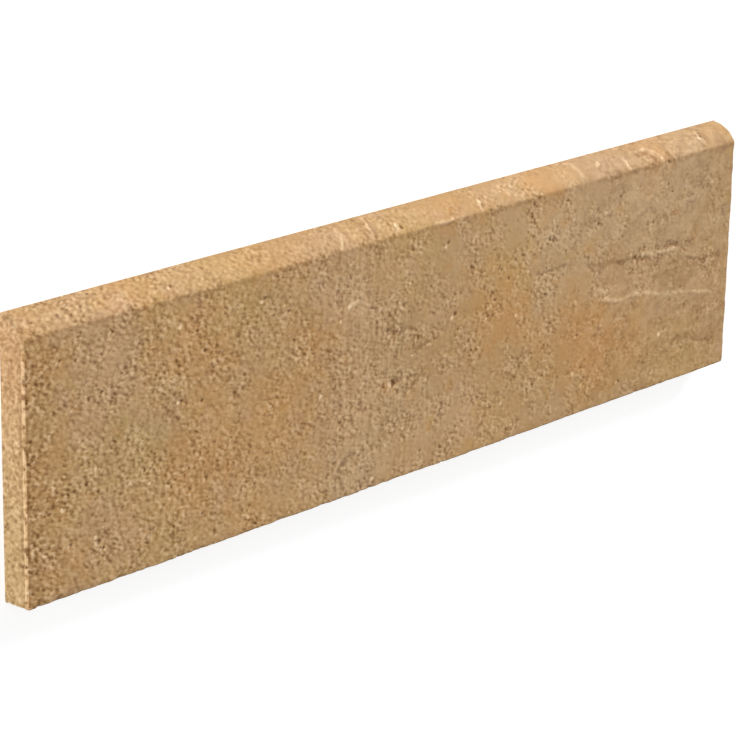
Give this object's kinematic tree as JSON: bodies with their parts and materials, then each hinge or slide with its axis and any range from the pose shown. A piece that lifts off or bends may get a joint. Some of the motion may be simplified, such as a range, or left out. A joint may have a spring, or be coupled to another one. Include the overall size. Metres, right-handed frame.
{
  "type": "skirting tile",
  "caption": "Flat rectangular matt fired-clay skirting tile with its top long edge rounded as a bullnose and shallow adhesive keys pressed in the back.",
  "frame": {"origin": "centre of the back, on the plane the tile lies on", "axes": "+X along the wall, +Y up the wall from the bottom edge to the rounded nose, +Z out of the wall from the back to the face; the tile is stored lying on its back"},
  "size_m": [0.3, 0.08, 0.009],
  "materials": {
    "fired_clay": "matte"
  },
  "bodies": {
    "root": {"skirting_tile": "fired_clay"}
  },
  "joints": []
}
